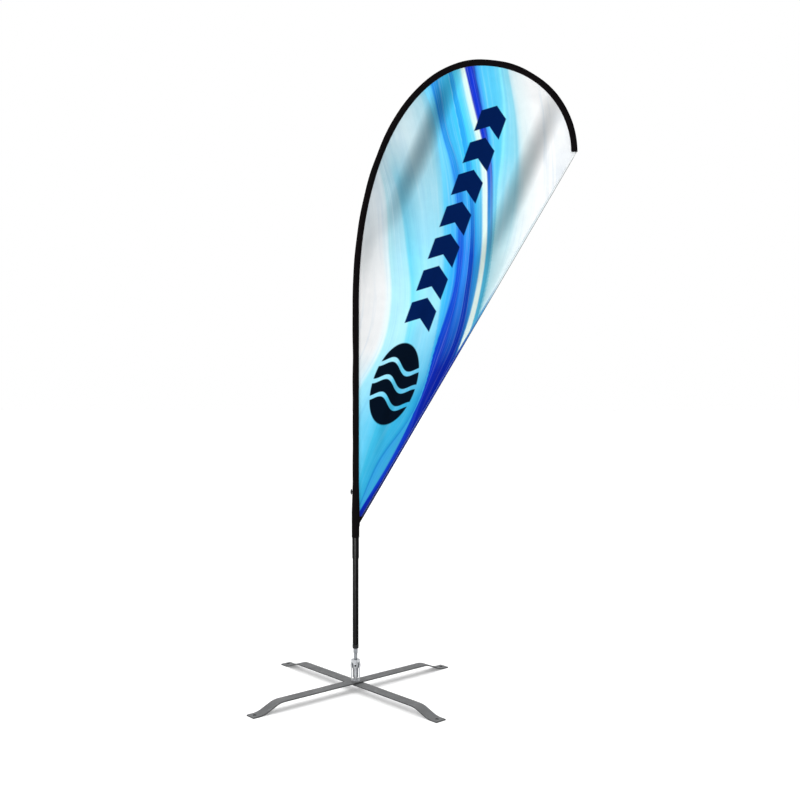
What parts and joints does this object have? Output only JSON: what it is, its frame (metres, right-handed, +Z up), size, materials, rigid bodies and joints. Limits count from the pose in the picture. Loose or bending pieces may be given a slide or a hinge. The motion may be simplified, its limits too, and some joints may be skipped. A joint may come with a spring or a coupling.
{
  "type": "teardrop flag",
  "caption": "Teardrop-shaped cloth flag on a bowed pole that spins on a bearing spindle, held by a tilting bracket on a folding cross base of flat steel bars.",
  "frame": {"origin": "on the ground, under the middle of the part's bounding box; the pole's axis stands 0.2114 m from it towards -X", "axes": "+Z up along the pole; the flag lies in the XZ plane with its cloth towards +X; -Y is the front"},
  "size_m": [1.0728, 0.65, 2.1237],
  "materials": {
    "powder_grey": "matt grey powder coat on flat steel bar",
    "zinc_plate": "satin zinc plating",
    "bright_steel": "ground steel",
    "black_tube": "glossy black anodised tube",
    "black_plastic": "moulded black plastic",
    "nylon": "plain nylon",
    "fibreglass_rod": "dark fibreglass with a fine lengthwise grain",
    "sleeve_black": "black woven polyester sleeve",
    "printed_cloth": "knitted polyester printed with blue and white sweeps",
    "white_cloth": "white knitted polyester"
  },
  "bodies": {
    "cross_base": {"upper_cross_bar": "powder_grey", "bar_washer": "nylon", "pivot_bolt": "zinc_plate", "pivot_washer": "zinc_plate", "pivot_nut": "zinc_plate", "spigot_bracket": "zinc_plate", "tilt_pin": "bright_steel", "tilt_clip": "bright_steel"},
    "lower_bar": {"lower_cross_bar": "powder_grey"},
    "tilt_barrel": {"spigot_barrel": "zinc_plate", "set_screw": "black_plastic", "bearing_outer_race": "bright_steel", "bearing_ball_cage": "bright_steel", "bearing_cover": "zinc_plate"},
    "spindle": {"bearing_inner_race": "bright_steel", "spindle_circlip": "bright_steel", "spindle_pin": "bright_steel", "spindle_collar": "bright_steel"},
    "lower_section": {"pole_end_cap": "black_plastic", "spindle_guide_bush": "nylon", "lower_pole": "black_tube"},
    "flag_section": {"pole_ferrule": "black_tube", "upper_pole": "black_tube", "rod_reducer": "black_plastic", "flex_rod": "fibreglass_rod", "rod_tip_cap": "black_plastic", "pole_sleeve": "sleeve_black", "sleeve_eyelet": "bright_steel", "tension_stud": "black_plastic", "flag_panel": "printed_cloth", "leech_hem": "printed_cloth", "tack_patch": "sleeve_black", "tip_patch": "white_cloth"}
  },
  "joints": [
    {"name": "base_fold", "type": "hinge", "parent": "cross_base", "child": "lower_bar", "pos_m": [-0.21141, 0, 0.024], "axis": [0, 0, 1], "range_deg": [-80, 80]},
    {"name": "spigot_tilt", "type": "hinge", "parent": "cross_base", "child": "tilt_barrel", "pos_m": [-0.21141, 0, 0.08391], "axis": [1, 0, 0], "range_deg": [-90, 90]},
    {"name": "spindle_spin", "type": "hinge", "parent": "tilt_barrel", "child": "spindle", "pos_m": [-0.21141, 0, 0.1], "axis": [0, 0, 1], "continuous": true},
    {"name": "pole_lift", "type": "slide", "parent": "spindle", "child": "lower_section", "axis": [0, 0, 1], "range_m": [0, 0.15]},
    {"name": "section_pull", "type": "slide", "parent": "lower_section", "child": "flag_section", "axis": [0, 0, 1], "range_m": [0, 0.106]}
  ]
}
